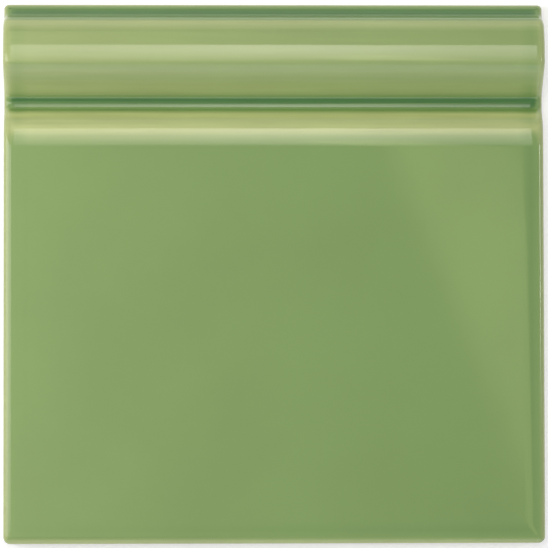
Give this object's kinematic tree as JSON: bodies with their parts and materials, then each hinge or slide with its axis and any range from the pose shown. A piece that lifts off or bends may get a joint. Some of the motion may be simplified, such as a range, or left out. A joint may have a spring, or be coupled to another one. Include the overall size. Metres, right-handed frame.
{
  "type": "skirting tile",
  "caption": "Square glazed ceramic skirting tile: a flat panel with a rounded rail and a groove along its top, keyed on the back, to cover the foot of a wall.",
  "frame": {"origin": "middle of the tile's outline, in the plane of its back", "axes": "+X along the wall and the rail, +Y up the wall towards the rail, +Z out of the glazed face"},
  "size_m": [0.152, 0.152, 0.015],
  "materials": {
    "glazed_ceramic": "glossy pale green glaze on the face and edges, bare cream biscuit on the back"
  },
  "bodies": {
    "root": {"skirting_tile": "glazed_ceramic"}
  },
  "joints": []
}
